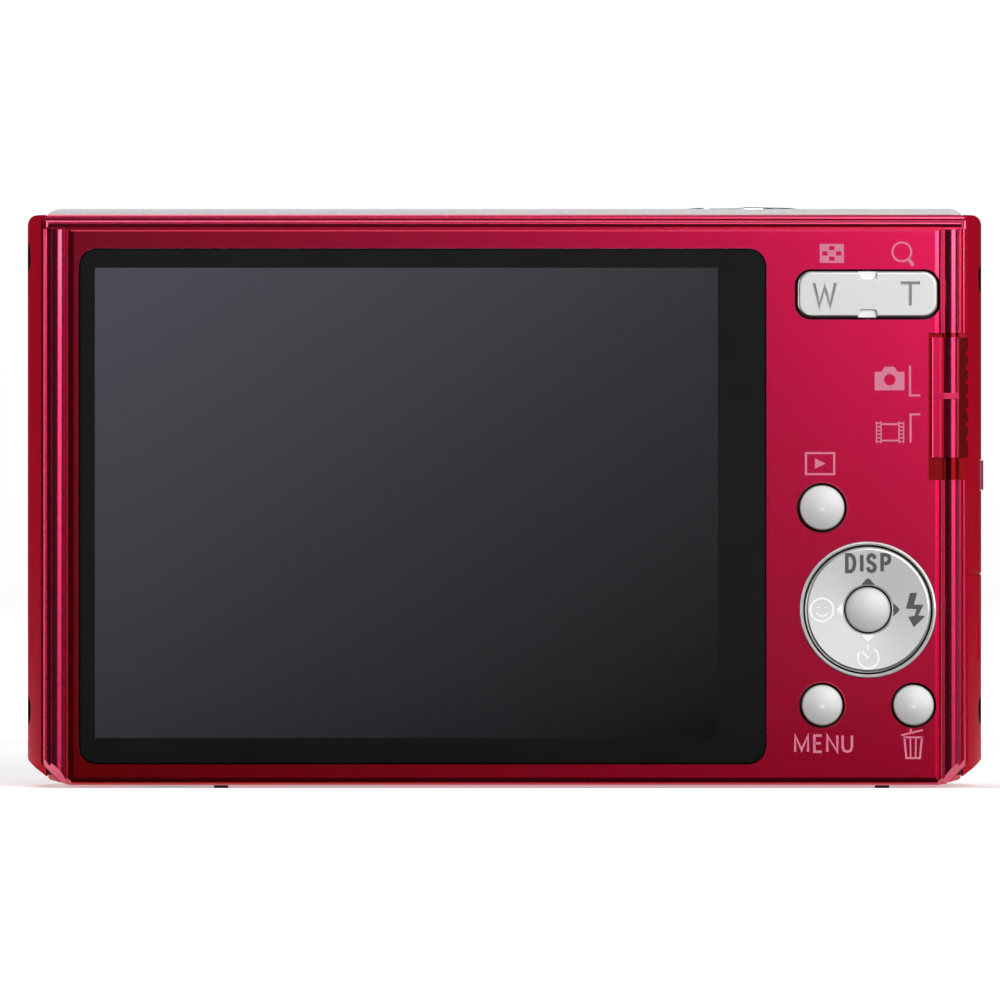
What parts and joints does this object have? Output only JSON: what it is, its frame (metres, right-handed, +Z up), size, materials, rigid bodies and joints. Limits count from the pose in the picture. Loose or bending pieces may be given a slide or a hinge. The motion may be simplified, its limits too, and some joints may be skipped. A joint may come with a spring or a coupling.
{
  "type": "compact digital camera",
  "caption": "Slim pocket camera with a retracting zoom lens, a rear display, a control pad, keys, a mode slider, and a bottom door over the battery and card.",
  "frame": {"origin": "middle of the camera's footprint, level with the soles of its feet", "axes": "+X to the right seen from behind, +Y where the lens looks, +Z up"},
  "size_m": [0.094, 0.0189, 0.0568],
  "materials": {
    "red_casing": "glossy metallic red paint, fine flake",
    "silver_cover": "satin silver paint",
    "silver_keys": "satin silver plated plastic",
    "bright_trim": "bright plated rings",
    "barrel_metal": "anodised, fine turning lines",
    "display_glass": "black-bordered hard window over the display",
    "display_panel": "dark display cell, switched off",
    "sheet_steel": "bare pressed sheet",
    "small_steel": "turned steel",
    "black_plastic": "matte black moulding",
    "blade_black": "matte black paint on thin sheet",
    "foot_rubber": "dark rubber",
    "lens_glass": "coated glass",
    "clear_plastic": "clear moulding",
    "reflector_metal": "bright sheet",
    "circuit_board": "green solder mask",
    "sensor_face": "covered chip",
    "dark_metal": "dark sleeve",
    "socket_metal": "plated shell",
    "battery_wrap": "printed wrap, left plain",
    "card_plastic": "dark moulding"
  },
  "bodies": {
    "casing": {"rear_cover": "red_casing", "front_cover": "red_casing", "side_trim_left": "red_casing", "side_trim_right": "red_casing", "side_trim_right_lower": "red_casing", "bottom_plate": "red_casing", "top_cover": "silver_cover", "pad_ring": "bright_trim", "shutter_ring": "bright_trim", "lens_ring": "bright_trim", "lcd_window": "display_glass", "lcd_panel": "display_panel", "chassis": "sheet_steel", "lcd_tray": "sheet_steel", "card_slot": "sheet_steel", "sensor_plate": "sheet_steel", "casing_screws": "small_steel", "rocker_pin": "small_steel", "door_pin": "small_steel", "strap_lug": "small_steel", "tripod_socket": "small_steel", "lens_base": "black_plastic", "speaker": "black_plastic", "battery_bay": "black_plastic", "base_feet": "foot_rubber", "flash_window": "clear_plastic", "focus_lamp": "clear_plastic", "flash_tube": "clear_plastic", "flash_reflector": "reflector_metal", "key_board": "circuit_board", "top_board": "circuit_board", "main_board": "circuit_board", "image_sensor": "sensor_face", "flash_capacitor": "dark_metal", "zoom_motor": "dark_metal", "data_socket": "socket_metal"},
    "zoom_rocker": {"zoom_rocker": "silver_keys"},
    "playback_button": {"playback_button": "silver_keys"},
    "menu_button": {"menu_button": "silver_keys"},
    "delete_button": {"delete_button": "silver_keys"},
    "centre_button": {"centre_button": "silver_keys"},
    "pad_support": {"pad_support": "foot_rubber"},
    "control_pad": {"control_pad": "silver_keys"},
    "mode_switch": {"mode_switch": "red_casing"},
    "shutter_button": {"shutter_button": "silver_keys"},
    "power_button": {"power_button": "silver_keys"},
    "outer_barrel": {"outer_barrel": "barrel_metal", "zoom_group_cell": "black_plastic", "zoom_group_lens": "lens_glass"},
    "inner_barrel": {"inner_barrel": "barrel_metal", "front_lens_cell": "black_plastic", "front_lens": "lens_glass"},
    "barrier_upper": {"barrier_blade_upper": "blade_black"},
    "barrier_lower": {"barrier_blade_lower": "blade_black"},
    "focus_group": {"focus_carrier": "black_plastic", "focus_lens": "lens_glass"},
    "battery_door": {"battery_door": "red_casing"},
    "door_catch": {"door_catch": "black_plastic"},
    "battery": {"battery": "battery_wrap"},
    "memory_card": {"memory_card": "card_plastic"}
  },
  "joints": [
    {"name": "zoom_rocker_tilt", "type": "hinge", "parent": "casing", "child": "zoom_rocker", "pos_m": [0.0354, -0.0074, 0.0482], "axis": [0, 0, 1], "range_deg": [-2.5, 2.5], "stiffness_Nm_per_rad": 0.05},
    {"name": "playback_press", "type": "slide", "parent": "casing", "child": "playback_button", "axis": [0, 1, 0], "range_m": [0, 0.0003], "stiffness_N_per_m": 300},
    {"name": "menu_press", "type": "slide", "parent": "casing", "child": "menu_button", "axis": [0, 1, 0], "range_m": [0, 0.0003], "stiffness_N_per_m": 300},
    {"name": "delete_press", "type": "slide", "parent": "casing", "child": "delete_button", "axis": [0, 1, 0], "range_m": [0, 0.0003], "stiffness_N_per_m": 300},
    {"name": "centre_press", "type": "slide", "parent": "casing", "child": "centre_button", "axis": [0, 1, 0], "range_m": [0, 0.00025], "stiffness_N_per_m": 300},
    {"name": "pad_tilt_up_down", "type": "hinge", "parent": "casing", "child": "pad_support", "pos_m": [0.03545, -0.0073, 0.01745], "axis": [1, 0, 0], "range_deg": [-2, 2], "stiffness_Nm_per_rad": 0.05},
    {"name": "pad_tilt_left_right", "type": "hinge", "parent": "pad_support", "child": "control_pad", "pos_m": [0.03545, -0.0073, 0.01745], "axis": [0, 0, 1], "range_deg": [-2, 2], "stiffness_Nm_per_rad": 0.05},
    {"name": "mode_switch_slide", "type": "slide", "parent": "casing", "child": "mode_switch", "axis": [0, 0, -1], "range_m": [0, 0.00186]},
    {"name": "shutter_press", "type": "slide", "parent": "casing", "child": "shutter_button", "axis": [0, 0, -1], "range_m": [0, 0.0007], "stiffness_N_per_m": 300},
    {"name": "power_press", "type": "slide", "parent": "casing", "child": "power_button", "axis": [0, 0, -1], "range_m": [0, 0.0004], "stiffness_N_per_m": 300},
    {"name": "barrel_extend", "type": "slide", "parent": "casing", "child": "outer_barrel", "axis": [0, 1, 0], "range_m": [0, 0.008]},
    {"name": "inner_barrel_extend", "type": "slide", "parent": "outer_barrel", "child": "inner_barrel", "axis": [0, 1, 0], "range_m": [0, 0.008]},
    {"name": "barrier_upper_swing", "type": "hinge", "parent": "inner_barrel", "child": "barrier_upper", "pos_m": [-0.0188, 0.008, 0.0275], "axis": [0, -1, 0], "range_deg": [0, 33.2]},
    {"name": "barrier_lower_swing", "type": "hinge", "parent": "inner_barrel", "child": "barrier_lower", "pos_m": [0.0008, 0.008, 0.0275], "axis": [0, -1, 0], "range_deg": [0, 33.2]},
    {"name": "focus_travel", "type": "slide", "parent": "casing", "child": "focus_group", "axis": [0, 1, 0], "range_m": [0, 0.0008]},
    {"name": "battery_door_swing", "type": "hinge", "parent": "casing", "child": "battery_door", "pos_m": [0.043, 0.0008, 0.0009], "axis": [0, -1, 0], "range_deg": [0, 90]},
    {"name": "door_catch_slide", "type": "slide", "parent": "battery_door", "child": "door_catch", "axis": [1, 0, 0], "range_m": [0, 0.0015]},
    {"name": "battery_pop", "type": "slide", "parent": "casing", "child": "battery", "axis": [0, 0, -1], "range_m": [0, 0.0015]},
    {"name": "card_pop", "type": "slide", "parent": "casing", "child": "memory_card", "axis": [0, 0, -1], "range_m": [0, 0.003]}
  ],
  "couplings": [
    {"joint": "inner_barrel_extend", "follows": "barrel_extend", "ratio": 1},
    {"joint": "barrier_upper_swing", "follows": "barrel_extend", "rad_per_m": 72},
    {"joint": "barrier_lower_swing", "follows": "barrel_extend", "rad_per_m": 72},
    {"joint": "battery_door_swing", "follows": "battery_pop", "rad_per_m": 1047},
    {"joint": "card_pop", "follows": "battery_pop", "ratio": 1.98}
  ]
}
